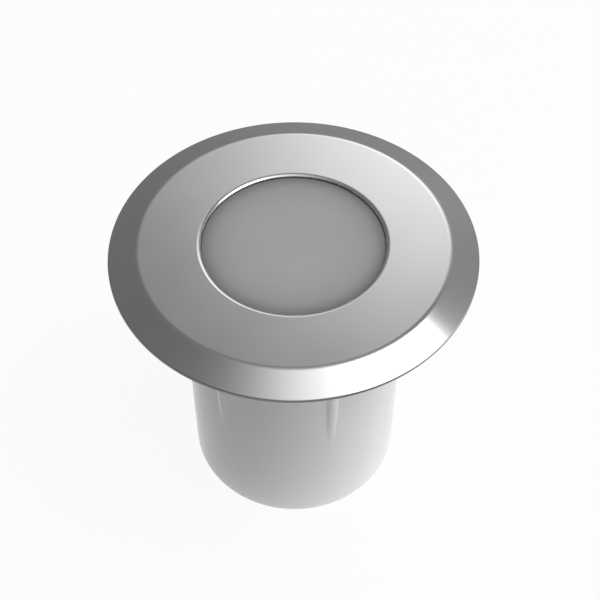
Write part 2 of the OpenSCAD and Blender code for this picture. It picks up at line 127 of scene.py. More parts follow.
def weld(piece, reach=0.002 * mm):
    # joins points that lie on each other, so that seams are closed, and turns all faces outwards
    work = bmesh.new()
    work.from_mesh(piece.data)
    bmesh.ops.remove_doubles(work, verts=work.verts, dist=reach)
    bmesh.ops.dissolve_degenerate(work, dist=reach / 4, edges=work.edges)
    # a profile that ran down the axis leaves edges without a face
    loose = [edge for edge in work.edges if not edge.link_faces]
    bmesh.ops.delete(work, geom=loose, context="EDGES")
    bmesh.ops.recalc_face_normals(work, faces=work.faces)
    if work.calc_volume(signed=True) < 0:
        bmesh.ops.reverse_faces(work, faces=work.faces)
    work.to_mesh(piece.data)
    work.free()
    piece.data.shade_smooth()
    return piece


def gridFaces(rows, columns, closedRows, first):
    # quads of a grid of points, row after row. A row's end joins its start, and closedRows joins
    # the last row to the first.
    r = np.arange(rows if closedRows else rows - 1)[:, None]
    c = np.arange(columns)[None, :]
    r2, c2 = (r + 1) % rows, (c + 1) % columns
    quads = np.stack([r * columns + c, r * columns + c2, r2 * columns + c2, r2 * columns + c], -1)
    return quads.reshape(-1, 4) + first


def gridPiece(name, grids, closedRows=False, capped=False):
    # one piece from grids of points, each rows by columns by 3; capped puts a face on both ends
    points, faces, first = [], [], 0
    for grid in grids:
        rows, columns = grid.shape[:2]
        points.append(grid.reshape(-1, 3))
        faces.append(gridFaces(rows, columns, closedRows, first))
        if capped:
            ends = np.array([[0], [(rows - 1) * columns]])
            faces.append(first + ends + np.arange(columns))
        first += rows * columns
    return weld(meshPiece(name, np.concatenate(points), faces))


def polar(r, a):
    # flat points at distance r and angle a: (r cos a, r sin a)
    return np.stack([r * np.cos(a), r * np.sin(a)], -1)


def around(r, z, a):
    # a grid of points at distance r and angle a round the axis, at level z
    r, z, a = np.broadcast_arrays(r, z, a)
    return np.concatenate([polar(r, a), z[..., None]], -1)


def filleted(corners, steps=6, support=0.06 * mm, arcShare=0.75, supportShare=0.3):
    # corners are (r, z, rounding) round a closed outline. Each rounding is an arc that touches both
    # sides and takes up to arcShare of a side; a point a little way along each side, up to
    # supportShare of what is left of it, keeps the flats flat in shading.
    points = np.array([c[:2] for c in corners], float)
    sizes = np.array([c[2] for c in corners], float)
    before, after = np.roll(points, 1, 0) - points, np.roll(points, -1, 0) - points
    out = []
    for p, a, b, size in zip(points, before, after, sizes):
        la, lb = np.linalg.norm(a), np.linalg.norm(b)
        a, b = a / la, b / lb
        half = math.acos(max(-1.0, min(1.0, float(a @ b)))) / 2
        cut = min(size / math.tan(half), arcShare * la, arcShare * lb)
        radius = cut * math.tan(half)
        middle = p + (a + b) / np.linalg.norm(a + b) * radius / math.sin(half)
        start, end = p + a * cut - middle, p + b * cut - middle
        turn = math.atan2(start[0] * end[1] - start[1] * end[0], start @ end)
        angles = np.linspace(0, turn, steps + 1)
        arc = middle + np.stack([start[0] * np.cos(angles) - start[1] * np.sin(angles),
                                 start[0] * np.sin(angles) + start[1] * np.cos(angles)], -1)
        extra = min(support, supportShare * (la - cut), supportShare * (lb - cut))
        out += [p + a * (cut + extra), *arc, p + b * (cut + extra)]
    return np.array(out)


def lathe(name, profile, count=256, middle=(0, 0)):
    # point(u, v) = middle + (r(v) cos u, r(v) sin u, z(v)), with the profile closed on itself
    u = np.linspace(0, fullTurn, count, endpoint=False)
    return gridPiece(name, [around(profile[:, :1], profile[:, 1:], u) + (*middle, 0)], True)


# material tools

refraction = 1.5    # index of glass, plastics and rubber


def newMaterial(name):
    # an empty material and its tree of nodes
    material = bpy.data.materials.new(name)
    material.use_nodes = True
    return material, material.node_tree


def fill(tree, node, values):
    # each named socket takes another node's output or a plain value
    for name, value in values.items():
        if isinstance(value, bpy.types.NodeSocket):
            tree.links.new(value, node.inputs[name])
        else:
            node.inputs[name].default_value = value


def put(tree, kind, output, values, **settings):
    # adds a node of this kind with its settings and values, and gives back one of its outputs
    node = tree.nodes.new("ShaderNode" + kind)
    for name, value in settings.items():
        setattr(node, name, value)
    fill(tree, node, values)
    return node.outputs[output]


def reckon(tree, operation, *values):
    # one step of arithmetic with outputs and numbers
    return put(tree, "Math", "Value", dict(enumerate(values)), operation=operation)


def between(tree, value, low, high, start=0.0, end=1.0):
    # goes evenly from low to high while value goes from start to end
    return put(tree, "MapRange", "Result", {"Value": value, "From Min": start, "From Max": end,
                                            "To Min": low, "To Max": high})


def noise(tree, vector, scale, detail):
    # soft noise: scale is how many patches go on a metre, detail how many finer layers it has
    return put(tree, "TexNoise", "Fac", {"Vector": vector, "Scale": scale, "Detail": detail})


def relief(tree, height, strength, depth):
    # normal of a surface that rises by depth while height goes from nought to one
    return put(tree, "Bump", "Normal", {"Height": height, "Strength": strength, "Distance": depth})


def mixed(tree, share, first, second):
    # colour = first + share * (second - first)
    return put(tree, "Mix", "Result", {"Factor": share, "A": first, "B": second}, data_type="RGBA")


def onPiece(tree):
    # the place on the piece, in metres
    return put(tree, "TexCoord", "Object", {})


def heightOf(tree, place):
    # level above the ground line, the z of the place
    return put(tree, "SeparateXYZ", "Z", {"Vector": place})


def fromAxis(tree, place):
    # distance from the light's axis: the length of (x, y, 0)
    flat = put(tree, "VectorMath", "Vector", {0: place, 1: (1, 1, 0)}, operation="MULTIPLY")
    return put(tree, "VectorMath", "Value", {0: flat}, operation="LENGTH")


def wander(tree, cloud, color, spread, ends=(0.3, 0.7)):
    # colour * (1 - spread) up to the noise's first end, colour * (1 + spread) from the second on
    node = tree.nodes.new("ShaderNodeValToRGB")
    dark, light = node.color_ramp.elements
    dark.position, light.position = ends
    dark.color = [c * (1 - spread) for c in color] + [1]
    light.color = [min(1, c * (1 + spread)) for c in color] + [1]
    fill(tree, node, {"Fac": cloud})
    return node.outputs["Color"]


def finish(name, color, roughness=0.5, metallic=0.0, spread=0.06, patch=120.0, grain=2500.0,
           bump=0.02, depth=0.02 * mm, roughSpread=0.08, stretch=(1, 1, 1), details=(4, 3)):
    # colour and roughness wander with a soft noise of scale patch, and a fine noise of scale grain
    # lifts the surface by up to depth; details are how many layers each noise has
    material, tree = newMaterial(name)
    place = put(tree, "Mapping", "Vector", {"Vector": onPiece(tree), "Scale": stretch})
    cloud = noise(tree, place, patch, details[0])
    fill(tree, tree.nodes["Principled BSDF"], {
        "Metallic": metallic,
        "IOR": refraction,
        "Base Color": wander(tree, cloud, color, spread),
        "Roughness": between(tree, cloud, roughness * (1 - roughSpread),
                             roughness * (1 + roughSpread)),
        "Normal": relief(tree, noise(tree, place, grain, details[1]), bump, depth),
    })
    return material


def twoTone(material, color, metallic, middle, half, spread=0.06):
    # within half of the level middle the finish has this second colour, which wanders with the same
    # noise, and there it is as metallic as this says
    tree = material.node_tree
    shader = tree.nodes["Principled BSDF"]
    first = shader.inputs["Base Color"].links[0].from_node
    second = wander(tree, first.inputs["Fac"].links[0].from_socket, color, spread)
    inside = reckon(tree, "COMPARE", heightOf(tree, onPiece(tree)), middle, half)
    fill(tree, shader, {"Base Color": mixed(tree, inside, first.outputs["Color"], second)})
    base = shader.inputs["Metallic"].default_value
    if metallic != base:
        share = reckon(tree, "MULTIPLY_ADD", inside, metallic - base, base)
        fill(tree, shader, {"Metallic": share})
    return material


def traces(material, color, scale, width=0.03, softness=0.3):
    # copper runs under the mask: the joints of a brick pattern show through in a second colour
    tree = material.node_tree
    shader = tree.nodes["Principled BSDF"]
    mask = shader.inputs["Base Color"].links[0].from_socket
    joints = put(tree, "TexBrick", "Fac", {"Vector": onPiece(tree), "Scale": scale,
                                           "Mortar Size": width, "Mortar Smooth": softness})
    fill(tree, shader, {"Base Color": mixed(tree, joints, mask, (*color, 1))})
    return material


def wear(piece, material):
    # the piece wears this material on every face
    piece.data.materials.clear()
    piece.data.materials.append(material)


def dress(piece, body, nodes, material):
    # a new piece: rides on its body, stands for its CAD nodes if it has any, and takes its slot's
    # finish
    wear(piece, material)
    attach(piece, body)
    if nodes:
        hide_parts(*nodes)
    return piece


# cover: turned stainless ring with a flat top, a shallow bevel and a thin upright land

cover = {
    "count": 320,                # columns round the axis
    "flatRadius": 33.8 * mm,     # where the flat top ends
    "landHeight": 0.8 * mm,      # upright rim at the outside
    "bevelRound": 3.2 * mm,      # rounding between flat and bevel
    "lipHeight": 1.5 * mm,
    "lipRadius": 19.87 * mm,
    # the edge round the window: (radius, depth below the flat top, rounding), from the top down
    "windowEdge": [(20.38 * mm, 0, 1.65 * mm), (19.87 * mm, 0.33 * mm, 0.12 * mm)],
    "gasketRoom": 0.05 * mm,     # room round the gasket in its recess
    "skirtOut": 22.7 * mm,
    "skirtIn": 20.9 * mm,
    "grooveOut": 21.4 * mm,      # groove of the retaining ring
    "grooveEdge": 0.1 * mm,      # room over and under the retaining ring
    "edge": 0.12 * mm,           # broken edges
}
steel = {
    "tone": 0.64, "toneSpread": 0.03125,
    "roughness": (0.14, 0.18),
    "patch": 60, "detail": 5,    # scale and layers of the noise that both wander with
    "landPaintedShade": 0.16,            # painted shade: the upright rim is painted dark, and so is the border of the underside
    "landSoft": 0.1 * mm,        # from this far above the rim's height to this far below it
    "landInside": 39.7 * mm,     # and from here out
    "wallPaintedShade": 0.25,            # painted shade: how much of its lightness the opening's wall keeps,
    "wallShadeBorder": (0.02 * mm, 0.08 * mm),    # up to this far out of the lip
    "ringScale": 1830, "ringStrength": 0.05, "ringDepth": 0.002 * mm,    # marks of turning
}
thread = {
    # two-start right-hand thread that joins cover and lamp
    "lead": 3.0 * mm,
    "starts": 2,
    "low": -8.4 * mm, "high": -3.5 * mm,
    "neckRadius": 20.2 * mm,
    "height": 0.55 * mm,
    # section of a ridge: millimetres along the axis, share of the height
    "section": [(-0.44, -0.08), (-0.40, 0.0), (-0.21, 0.90), (-0.15, 1.0),
                (0.15, 1.0), (0.21, 0.90), (0.40, 0.0), (0.44, -0.08)],
    "skirtShift": math.pi / 2,   # how far the cover's ridges stand round from the lamp's, radians
    "runOut": 40,                # degrees over which an end sinks into the wall
    "steps": 240,                # a turn
}


def coverProfile(s):
    # outline of the cover's section, from the lip's lower edge outwards and round
    low, top = levels("face_ring")
    outer, gasketOut = nodeRadius("face_ring"), nodeRadius("ground_gasket") + s["gasketRoom"]
    gasketTop = levels("ground_gasket")[1]
    clipLow, clipHigh = levels("glass_retainer")
    grooveLow, grooveHigh = clipLow - s["grooveEdge"], clipHigh + s["grooveEdge"]
    lipUnder = top - s["lipHeight"]
    e = s["edge"]
    return filleted([
        (s["lipRadius"], lipUnder, e),
        *[(r, top - drop, rounding) for r, drop, rounding in reversed(s["windowEdge"])],
        (s["flatRadius"], top, s["bevelRound"]),
        (outer, s["landHeight"], e * 2),
        (outer, 0, e * 2),
        (gasketOut, 0, e / 2),
        (gasketOut, gasketTop, e / 2),
        (s["skirtOut"], gasketTop, e),
        (s["skirtOut"], low, e * 2),
        (s["skirtIn"], low, e * 2),
        (s["skirtIn"], grooveLow, e / 2),
        (s["grooveOut"], grooveLow, e / 2),
        (s["grooveOut"], grooveHigh, e / 2),
        (s["skirtIn"], grooveHigh, e / 2),
        (s["skirtIn"], lipUnder, e),
    ])


def threadRidge(name, wall, outward, shift, s):
    # a section carried along helices: z = low + lead * angle / full turn. At both ends the ridge
    # sinks into the wall it stands on, down to the root of the section.
    section = np.array(s["section"])
    half, root = -section[0, 0] * mm, section[0, 1]
    turns = (s["high"] - s["low"] - 2 * half) / s["lead"]
    angle = np.linspace(0, fullTurn * turns, int(turns * s["steps"]))[:, None]
    ends = np.minimum(angle, angle[-1] - angle) / math.radians(s["runOut"])
    rise = np.sqrt(np.clip(ends, 0, 1))
    r = wall + outward * s["height"] * (root + (section[:, 1] - root) * rise)
    z = s["low"] + half + s["lead"] * angle / fullTurn + section[:, 0] * mm
    shifts = shift + np.arange(s["starts"]) * fullTurn / s["starts"]
    return gridPiece(name, [around(r, z, angle + start) for start in shifts], capped=True)


def steelFinish(s, shape):
    # satin stainless: colour and roughness wander a little, with fine turning rings round the axis
    material, tree = newMaterial("satinSteel")
    place = onPiece(tree)
    reach = fromAxis(tree, place)
    cloud = noise(tree, place, s["patch"], s["detail"])
    land, lip = shape["landHeight"], shape["lipRadius"]
    # painted shade: below the land's height and out from landInside the colour goes to the dark
    # land tone
    above = between(tree, heightOf(tree, place), 0, 1, land - s["landSoft"], land + s["landSoft"])
    inward = reckon(tree, "LESS_THAN", reach, s["landInside"])
    # painted shade: near the lip the opening's wall keeps only part of its lightness
    wall = between(tree, reach, s["wallPaintedShade"], 1, *(lip + out for out in s["wallShadeBorder"]))
    light = reckon(tree, "MULTIPLY", reckon(tree, "MAXIMUM", above, inward), wall)
    bright = wander(tree, cloud, [s["tone"]] * 3, s["toneSpread"])
    rings = put(tree, "TexNoise", "Fac", {"W": reach, "Scale": s["ringScale"]},
                noise_dimensions="1D")
    fill(tree, tree.nodes["Principled BSDF"], {
        "Metallic": 1.0,
        # painted shade: where light is nought the steel takes the dark land tone instead of its
        # bright tone
        "Base Color": mixed(tree, light, (*[s["landPaintedShade"]] * 3, 1), bright),
        "Roughness": between(tree, cloud, *s["roughness"]),
        "Normal": relief(tree, rings, s["ringStrength"], s["ringDepth"]),
    })
    return material


satinSteel = steelFinish(steel, cover)
dress(lathe("coverRing", coverProfile(cover), cover["count"]), "ring", ["face_ring"],
      satinSteel)
dress(threadRidge("skirtThread", cover["skirtIn"], -1, thread["skirtShift"], thread), "ring", [],
      satinSteel)
print("cover made")


# window: frosted disc, stepped for its seal, a little below the flat top

window = {
    "spigotRadius": 19.83 * mm,
    "edge": 0.08 * mm,
    "sealGap": 0.05 * mm,        # between spigot and seal
    "sealSteps": 4,              # of each rounding of the seal
    "tone": 0.395,
    "paintedBorderShade": [(0.35, 1.0), (0.60, 0.958), (0.74, 0.893), (0.84, 0.828), (0.90, 0.718),
             (0.945, 0.587), (0.99, 0.463)],    # painted shade: share of the tone left at a share of the radius
    "toneWander": (0.94, 1.06),
    "roughness": (0.42, 0.50),
    "gloss": 0.4,
    "patch": 90, "detail": 4,    # scale and layers of the noise that tone and roughness wander with
    "frostScale": 9000, "frostStrength": 0.15, "frostDepth": 0.01 * mm,
}


def windowProfile(s):
    # outline of the disc's section, from its middle out and back; the axis itself is left out
    low, top = levels("glass_lens")
    outer = nodeRadius("glass_lens")
    flangeTop = levels("lens_seal")[0]
    e = s["edge"]
    return filleted([
        (0, low, 0), (outer, low, e * 2), (outer, flangeTop, e * 2),
        (s["spigotRadius"], flangeTop, e / 2), (s["spigotRadius"], top, e), (0, top, 0)])[1:-1]


def glassFinish(s):
    # frosted glass: grey, with painted shade that darkens it towards its border, where less light
    # comes up from below
    material, tree = newMaterial("frostedWindow")
    place = onPiece(tree)
    share = reckon(tree, "DIVIDE", fromAxis(tree, place), s["spigotRadius"])
    # painted shade: the ramp darkens the grey by the distance from the axis
    shadeRamp = tree.nodes.new("ShaderNodeValToRGB")
    stops = shadeRamp.color_ramp.elements
    while len(stops) < len(s["paintedBorderShade"]):
        stops.new(0.5)
    for stop, (position, left) in zip(stops, s["paintedBorderShade"]):
        stop.position = position
        stop.color = (*[s["tone"] * left] * 3, 1)
    fill(tree, shadeRamp, {"Fac": share})
    cloud = noise(tree, place, s["patch"], s["detail"])
    tone = between(tree, cloud, *s["toneWander"])
    frost = put(tree, "TexNoise", "Fac", {"Vector": place, "Scale": s["frostScale"]})
    fill(tree, tree.nodes["Principled BSDF"], {
        "IOR": refraction,
        "Specular IOR Level": s["gloss"],
        "Base Color": put(tree, "VectorMath", "Vector", {0: shadeRamp.outputs["Color"], "Scale": tone},
                          operation="SCALE"),
        "Roughness": between(tree, cloud, *s["roughness"]),
        "Normal": relief(tree, frost, s["frostStrength"], s["frostDepth"]),
    })
    return material


def sealProfile(s):
    # flat washer between the glass's flange and the lip of the cover
    low = levels("lens_seal")[0]
    top = levels("face_ring")[1] - cover["lipHeight"]
    inner, outer = s["spigotRadius"] + s["sealGap"], nodeRadius("lens_seal")
    e = s["edge"]
    return filleted([(inner, low, e), (outer, low, e), (outer, top, e), (inner, top, e)],
                    s["sealSteps"])


dress(lathe("windowGlass", windowProfile(window)), "lens", ["glass_lens"],
      glassFinish(window))
blackRubber = finish("blackRubber", (0.025, 0.025, 0.026), 0.55, spread=0.3, grain=1800, bump=0.1)
dress(lathe("lensSeal", sealProfile(window)), "lens", ["lens_seal"], blackRubber)
print("window made")


# sleeve: moulded barrel with fins outside, rails inside, an outlet and drain holes in its floor

sleeve = {
    "wall": 1.5 * mm, "floor": 2.0 * mm,
    "rounding": 2.0 * mm,        # outside, where wall and floor meet
    "fillet": 0.6 * mm,          # inside, where wall and floor meet
    "edge": 0.15 * mm,
    "finCount": 6, "finLength": 39.0 * mm,
    "finRod": 2.3 * mm,          # radius of a fin's round back
    "finProud": 0.44 * mm,       # how far it stands out, reached this far above its point:
    "finTaper": 14.0 * mm,
    "finBlend": 0.12 * mm,       # how softly a fin runs into the wall
    "finSunk": 1.2 * mm,         # a rod this far under the wall has no trace left on it,
    "finFade": 0.6 * mm,         # and this much higher it has all of it
    "railWide": 3.0 * mm, "railHigh": 0.5 * mm, "railTop": -3.0 * mm, "railFoot": -46.0 * mm,
    "railBlend": 0.2 * mm,
    "drainRadius": 2.0 * mm,
    "drainEdge": [(0.15 * mm, 0), (0.04 * mm, 0.04 * mm), (0, 0.15 * mm)],    # out, into the floor
    "outletEdge": [(1, 0), (0.3, 0.3), (0, 1)],    # the same at the outlet, in shares of the edge
    "patchRadius": 22.2 * mm,    # where the flat floor with its holes begins
    "sidePoints": 9,             # along a side of a floor share
    # rows of the outside: below the fins, from under their points to over their taper, and above
    "outerRows": (12, 28, 20), "finUnder": 1.0 * mm, "finOver": 1.5 * mm,
    # rows of the inside: above the rails, over each of their ends, along them and below them
    "innerRows": (4, 6, 18, 8), "railEnd": 0.15 * mm, "railAbove": 0.3 * mm, "railClear": 0.4 * mm,
    "turnRows": (10, 5, 6),      # rows of the foot's rounding, of an edge of the rim, of the fillet
    "runUp": 0.1 * mm,           # a row this far before a rounding keeps the flat flat in shading
    # columns of one share: degrees from its fin, from and to, and how many
    "columns": [(-15, -4.5, 6), (-4.5, 4.5, 44), (4.5, 25.5, 12), (25.5, 34.5, 30), (34.5, 45, 6)],
}
outlet = next(m for m in frame["record"]["mounts"] if m["name"] == "sleeve_outlet")
barrel = next(m for m in frame["record"]["mounts"] if m["name"] == "ground_hole")
sleeveRadius, outletRadius = barrel["dims"]["r_mm"] * mm, outlet["dims"]["r_mm"] * mm


def sleeveAngles(s):
    # one turn of columns in even shares, close together over each fin and each rail
    share = np.concatenate([np.linspace(*band, endpoint=False) for band in s["columns"]])
    turns = np.arange(s["finCount"])[:, None] * 360 / s["finCount"]
    return np.radians((share + turns).ravel()), len(share)


def arcLength(angles, radius, count, offset):
    # distance along the wall from the nearest of count evenly spaced lines
    period = fullTurn / count
    return ((angles - offset + period / 2) % period - period / 2) * radius


def finHeight(s, angles, z):
    # a round rod let into the wall stands out by proud - a + sqrt(a^2 - x^2), and proud grows from
    # the point as a quarter sine wave; a soft maximum with nought runs it into the wall
    x = np.abs(arcLength(angles, sleeveRadius, s["finCount"], 0.0))
    a = s["finRod"]
    share = np.clip((z + s["finLength"]) / s["finTaper"], -0.5, 1)
    proud = s["finProud"] * np.sin(share * math.pi / 2)
    rise = proud - a + np.sqrt(np.maximum(a ** 2 - x ** 2, 0))
    soft = (rise + np.sqrt(rise ** 2 + s["finBlend"] ** 2)) / 2
    return soft * np.clip((rise + s["finSunk"]) / s["finFade"], 0, 1)


def railHeight(s, angles, z):
    # a flat bar with soft sides and ends: the product of smooth steps in width and in depth
    x = np.abs(arcLength(angles, sleeveRadius - s["wall"], s["finCount"], math.pi / s["finCount"]))
    b = s["railBlend"]
    part = (np.clip((s["railWide"] / 2 + b / 2 - x) / b, 0, 1)
            * np.clip((s["railTop"] + b / 2 - z) / b, 0, 1)
            * np.clip((z - s["railFoot"] + b / 2) / b, 0, 1))
    return s["railHigh"] * part * part * (3 - 2 * part)


def quarter(middleR, middleZ, radius, startDeg, endDeg, steps):
    # quarter of a circle in the section, from start to end
    return (middleR, middleZ) + polar(radius, np.radians(np.linspace(startDeg, endDeg, steps)))


def upright(r, z):
    # the first point is left out, because what comes before ends there
    return np.stack([np.full(len(z) - 1, r), z[1:]], -1)


def sleeveWall(s, angles):
    # rows from the underside round the foot, up the outside, over the rim and down the inside; fins
    # stand out from the outer rows and rails from the inner ones
    low = levels("well_sleeve")[0]
    inner, floorTop = sleeveRadius - s["wall"], low + s["floor"]
    e, k, f, patch = s["edge"], s["rounding"], s["fillet"], s["patchRadius"]
    finFoot = -s["finLength"] - s["finUnder"]
    finTop = finFoot + s["finTaper"] + s["finOver"]
    below, over, above = s["outerRows"]
    outerZ = np.concatenate([np.linspace(low + k, finFoot, below, endpoint=False),
                             np.linspace(finFoot, finTop, over, endpoint=False),
                             np.linspace(finTop, -e, above)])
    railTop, railFoot, clear = s["railTop"], s["railFoot"], s["railClear"]
    above, atEnd, along, below = s["innerRows"]
    railEnd = s["railEnd"] * np.linspace(1, -1, atEnd)
    innerZ = np.concatenate([np.linspace(-e, railTop + s["railAbove"], above), railTop + railEnd,
                             np.linspace(railTop - clear, railFoot + clear, along),
                             railFoot + railEnd,
                             np.linspace(railFoot - clear, floorTop + f, below)])
    atFoot, atRim, atFillet = s["turnRows"]
    outside = np.concatenate([
        [[patch, low], [sleeveRadius - k - s["runUp"], low]],
        quarter(sleeveRadius - k, low + k, k, -90, 0, atFoot),
        upright(sleeveRadius, outerZ),
        quarter(sleeveRadius - e, -e, e, 0, 90, atRim)[1:]])
    inside = np.concatenate([
        quarter(inner + e, -e, e, 90, 180, atRim),
        upright(inner, innerZ),
        quarter(inner - f, floorTop + f, f, 0, -90, atFillet)[1:],
        [[inner - f - s["runUp"], floorTop], [patch, floorTop]]])
    r, z = (np.concatenate([outside, inside])[:, n, None] + 0 * angles for n in (0, 1))
    rows = len(outside)
    onWall = np.clip((r[:rows] - (sleeveRadius - e)) / e, 0, 1) * (z[:rows] > low + k)
    onWall = np.where(z[:rows] > -2 * e, 1.0, onWall)
    r[:rows] += finHeight(s, angles, z[:rows]) * onWall
    r[rows:] -= railHeight(s, angles, z[rows:])
    return around(r, z, angles)


def floorShare(s, arc):
    # a share of the floor, ruled from its drain hole out to its own border, above and below
    low = levels("well_sleeve")[0]
    inner, floorTop = sleeveRadius - s["wall"], low + s["floor"]
    side = np.linspace(s["patchRadius"], outletRadius + s["edge"], s["sidePoints"])
    border = np.concatenate([polar(side[0], arc), polar(side[1:], arc[-1]),
                             polar(side[-1], arc[-2::-1]), polar(side[-2:0:-1], arc[0])])
    middle = polar((outletRadius + inner) / 2, (arc[0] + arc[-1]) / 2)
    ray = border - middle
    ray /= np.linalg.norm(ray, axis=1)[:, None]
    rings = [(border, 0), ((border + middle + ray * s["drainRadius"]) / 2, 0)]
    rings += [(middle + ray * (s["drainRadius"] + out), drop) for out, drop in s["drainEdge"]]
    upper = [np.insert(ring, 2, floorTop - drop, axis=1) for ring, drop in rings]
    lower = [np.insert(ring, 2, low + drop, axis=1) for ring, drop in rings]
    return np.stack(upper + lower[::-1])


def makeSleeve(s):
    # the barrel, the wall of the outlet with its edges broken, and the shares of the floor
    low = levels("well_sleeve")[0]
    angles, perShare = sleeveAngles(s)
    broken = np.array(s["outletEdge"]) * s["edge"]
    hole = np.concatenate([(outletRadius, low + s["floor"]) + broken * (1, -1),
                           ((outletRadius, low) + broken)[::-1]])
    closed = np.append(angles, angles[0] + fullTurn)
    shares = [floorShare(s, closed[n * perShare:(n + 1) * perShare + 1])
              for n in range(s["finCount"])]
    return gridPiece("wellSleeve", [sleeveWall(s, angles), around(hole[:, :1], hole[:, 1:], angles),
                                    *shares])


# glossy white moulding: tone and gloss wander a little, with a faint flow of the plastic
whiteMoulding = finish("whiteMoulding", (0.78, 0.78, 0.78), 0.20, spread=0.02 / 0.78, patch=70,
                       grain=310, bump=0.1, roughSpread=0.2, stretch=(1, 1, 0.3), details=(3, 2))
wellSleeve = dress(makeSleeve(sleeve), "well", ["well_sleeve"], whiteMoulding)
print("sleeve made:", len(wellSleeve.data.vertices), "points")


# floor, world and lamp

studio = {
    "floorSize": 6.0, "floorGap": 0.05 * mm,
    "floorTone": (0.94, 0.94, 0.94, 1),
    "floorRoughness": 0.9,
    "bounceTone": (0.42, 0.42, 0.42, 1),        # what the floor gives back to the light's sides
    "tableGlow": 0.95, "glowReach": 42 * mm,    # the sheet glows under the foot, as a light table
    "shadowShare": 0.08,
    "roomDim": 0.215,            # level of the room at the left and back
    "roomRise": 0.12,            # what is added to it towards the bright side
    "riseAzimuth": 72.5, "riseElevation": 12.0,
}
glows = [
    # azimuth, elevation, width in degrees and level of the soft patches of light in the room
    (88.5, 37.0, 12.6, 1.65),
    (-9.5, 78.0, 19.0, 1.3),
    (-3.5, 17.0, 25.0, 3.1),
    (240.0, -4.0, 52.0, -0.15),
    (283.0, 48.0, 16.0, 0.85),
    (73.0, 55.0, 8.0, -0.24),
]
keyBox = {
    "azimuth": 7.4, "elevation": 62.25, "distance": 1.2,
    "width": 0.57, "height": 0.565,
    "turn": 28.9,                # degrees round its own axis
    "radiance": 4.0,
}


def direction(azimuth, elevation):
    # a step of length one that way: (cos a cos e, sin a cos e, sin e)
    a, e = math.radians(azimuth), math.radians(elevation)
    return Vector((math.cos(a) * math.cos(e), math.sin(a) * math.cos(e), math.sin(e)))


def makeFloor(s):
    # a plain white sheet: seen or mirrored it is white, and it keeps part of the shadow. To the
    # light's sides it gives its bounce tone and a glow * exp(-(distance / reach)^2) round the foot.
    half, level = s["floorSize"] / 2, cadLow.z - s["floorGap"]
    corners = np.array([[-half, -half, level], [half, -half, level],
                        [half, half, level], [-half, half, level]])
    floor = meshPiece("floor", corners, [np.array([[0, 1, 2, 3]])])
    material, tree = newMaterial("whiteSheet")
    plain = tree.nodes["Principled BSDF"]
    rays = tree.nodes.new("ShaderNodeLightPath").outputs
    share = reckon(tree, "DIVIDE", fromAxis(tree, onPiece(tree)), s["glowReach"])
    fall = reckon(tree, "EXPONENT", reckon(tree, "MULTIPLY", reckon(tree, "POWER", share, 2), -1))
    glow = reckon(tree, "MULTIPLY", fall, s["tableGlow"])
    fill(tree, plain, {
        "Base Color": mixed(tree, rays["Is Diffuse Ray"], s["floorTone"], s["bounceTone"]),
        "Roughness": s["floorRoughness"],
        "Emission Color": (1, 1, 1, 1),
        "Emission Strength": reckon(tree, "MULTIPLY", glow, rays["Is Diffuse Ray"]),
    })
    mirrored = reckon(tree, "MAXIMUM", rays["Is Glossy Ray"], rays["Is Transmission Ray"])
    seen = reckon(tree, "MAXIMUM", rays["Is Camera Ray"], mirrored)
    white = put(tree, "MixShader", "Shader", {
        "Fac": reckon(tree, "MULTIPLY", seen, 1 - s["shadowShare"]),
        1: plain.outputs["BSDF"], 2: put(tree, "Emission", "Emission", {})})
    below = put(tree, "NewGeometry", "Backfacing", {})    # seen from below there is no sheet
    sheet = put(tree, "MixShader", "Shader", {
        "Fac": below, 1: white, 2: put(tree, "BsdfTransparent", "BSDF", {})})
    fill(tree, tree.nodes["Material Output"], {"Surface": sheet})
    wear(floor, material)


def makeWorld(s):
    # a dim room: its level rises with the fourth power of the cosine to its bright side, and each
    # glow adds level * exp(k (cosine - 1)), a soft round patch of light. The camera sees white.
    world = bpy.data.worlds.new("studioRoom")
    bpy.context.scene.world = world
    world.use_nodes = True
    tree = world.node_tree
    outward = put(tree, "TexCoord", "Generated", {})

    def cosine(azimuth, elevation):
        return put(tree, "VectorMath", "Value", {0: outward, 1: direction(azimuth, elevation)},
                   operation="DOT_PRODUCT")

    facing = reckon(tree, "MAXIMUM", cosine(s["riseAzimuth"], s["riseElevation"]), 0.0)
    rise = reckon(tree, "POWER", facing, 4.0)
    level = reckon(tree, "MULTIPLY_ADD", rise, s["roomRise"], s["roomDim"])
    for azimuth, elevation, width, strength in glows:
        k = 2 / math.radians(width) ** 2
        share = reckon(tree, "MULTIPLY_ADD", cosine(azimuth, elevation), k, -k)
        level = reckon(tree, "MULTIPLY_ADD", reckon(tree, "EXPONENT", share), strength, level)
    seen = put(tree, "LightPath", "Is Camera Ray", {})
    hidden = reckon(tree, "SUBTRACT", 1.0, seen)
    fill(tree, tree.nodes["Background"], {
        "Color": (1, 1, 1, 1),
        "Strength": reckon(tree, "MULTIPLY_ADD", level, hidden, seen),
    })


def makeKeyBox(s):
    # a lamp of even brightness that faces the light's middle: energy = radiance * area * pi
    data = bpy.data.lights.new("keyBox", "AREA")
    data.shape, data.size, data.size_y = "RECTANGLE", s["width"], s["height"]
    data.energy = s["radiance"] * s["width"] * s["height"] * math.pi
    lamp = bpy.data.objects.new("keyBox", data)
    bpy.context.scene.collection.objects.link(lamp)
    out = direction(s["azimuth"], s["elevation"])
    lamp.location = out * s["distance"]
    lamp.rotation_mode = "QUATERNION"
    ownTurn = Quaternion((0, 0, 1), math.radians(s["turn"]))
    lamp.rotation_quaternion = out.to_track_quat("Z", "Y") @ ownTurn
    lamp.visible_camera = False


makeFloor(studio)
makeWorld(studio)
makeKeyBox(keyBox)
print("studio made")


# parts of the driver that get a fuller form than their CAD solids

